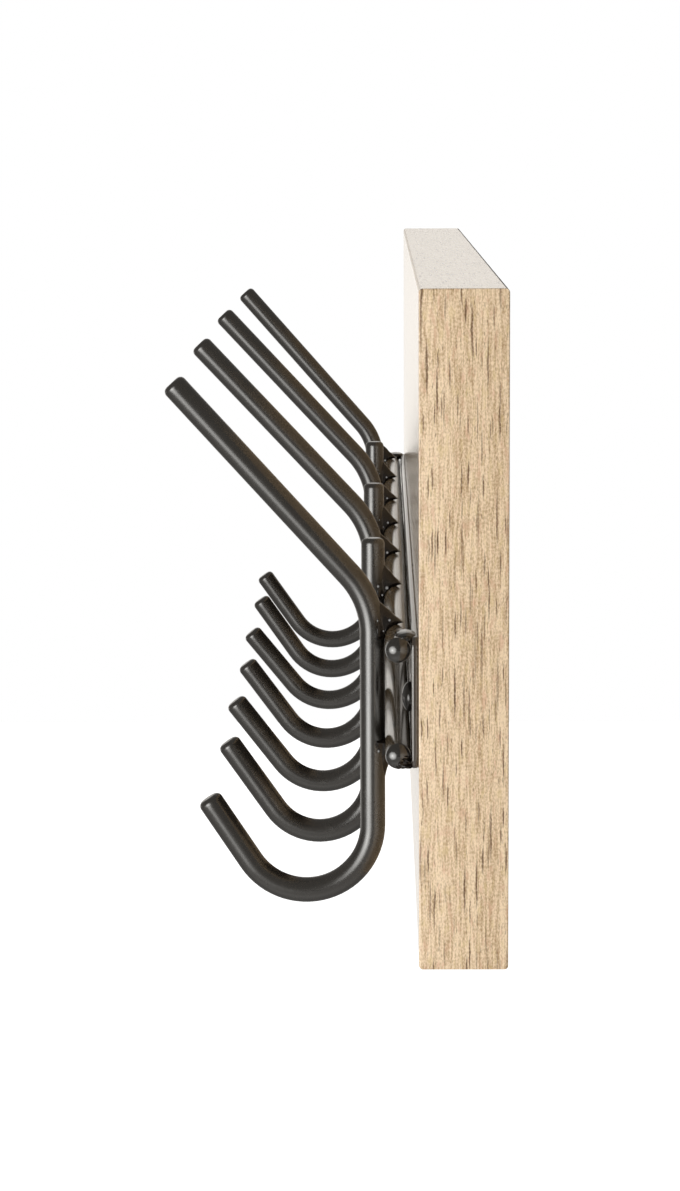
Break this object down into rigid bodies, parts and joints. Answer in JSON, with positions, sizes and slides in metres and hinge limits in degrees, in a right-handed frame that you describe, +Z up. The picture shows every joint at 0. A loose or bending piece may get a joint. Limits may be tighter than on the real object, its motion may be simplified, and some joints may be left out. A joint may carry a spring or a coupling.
{
  "type": "wall coat rack",
  "caption": "Wall coat rack: black bent-wire hooks, welded across two rods on a flat steel strip, screwed to an oak-look board that hangs on keyhole plates.",
  "frame": {"origin": "middle of the board's back face, which lies on the wall", "axes": "+X along the board to the right as seen from the front, +Y out of the back into the wall, +Z up"},
  "size_m": [0.44, 0.071, 0.137],
  "materials": {
    "oak_decor": "satin light-oak melamine decor and edge band, fine dark pores along the grain",
    "chipboard_core": "raw chipboard, hidden by the decor and the bands",
    "black_powder_coat": "semi-gloss black powder coat with a fine orange peel, on steel",
    "black_screw": "glossy black-plated steel",
    "zinc_steel": "bright zinc-plated pressed steel"
  },
  "bodies": {
    "root": {"board_core": "chipboard_core", "front_decor_sheet": "oak_decor", "back_decor_sheet": "oak_decor", "top_edge_band": "oak_decor", "bottom_edge_band": "oak_decor", "left_end_band": "oak_decor", "right_end_band": "oak_decor", "mounting_strip": "black_powder_coat", "upper_rod": "black_powder_coat", "lower_rod": "black_powder_coat", "double_hook_1": "black_powder_coat", "single_hook_2": "black_powder_coat", "double_hook_3": "black_powder_coat", "single_hook_4": "black_powder_coat", "double_hook_5": "black_powder_coat", "single_hook_6": "black_powder_coat", "double_hook_7": "black_powder_coat", "hook_weld_1_lower": "black_powder_coat", "hook_weld_1_upper": "black_powder_coat", "hook_weld_2_lower": "black_powder_coat", "hook_weld_2_upper": "black_powder_coat", "hook_weld_3_lower": "black_powder_coat", "hook_weld_3_upper": "black_powder_coat", "hook_weld_4_lower": "black_powder_coat", "hook_weld_4_upper": "black_powder_coat", "hook_weld_5_lower": "black_powder_coat", "hook_weld_5_upper": "black_powder_coat", "hook_weld_6_lower": "black_powder_coat", "hook_weld_6_upper": "black_powder_coat", "hook_weld_7_lower": "black_powder_coat", "hook_weld_7_upper": "black_powder_coat", "rod_weld_lower_left": "black_powder_coat", "rod_weld_lower_right": "black_powder_coat", "rod_weld_upper_left": "black_powder_coat", "rod_weld_upper_right": "black_powder_coat", "strip_screw_1": "black_screw", "strip_screw_2": "black_screw", "strip_screw_3": "black_screw", "strip_screw_4": "black_screw", "hanger_plate_left": "zinc_steel", "hanger_plate_right": "zinc_steel", "hanger_screw_left_inner": "zinc_steel", "hanger_screw_left_outer": "zinc_steel", "hanger_screw_right_inner": "zinc_steel", "hanger_screw_right_outer": "zinc_steel"}
  },
  "joints": []
}
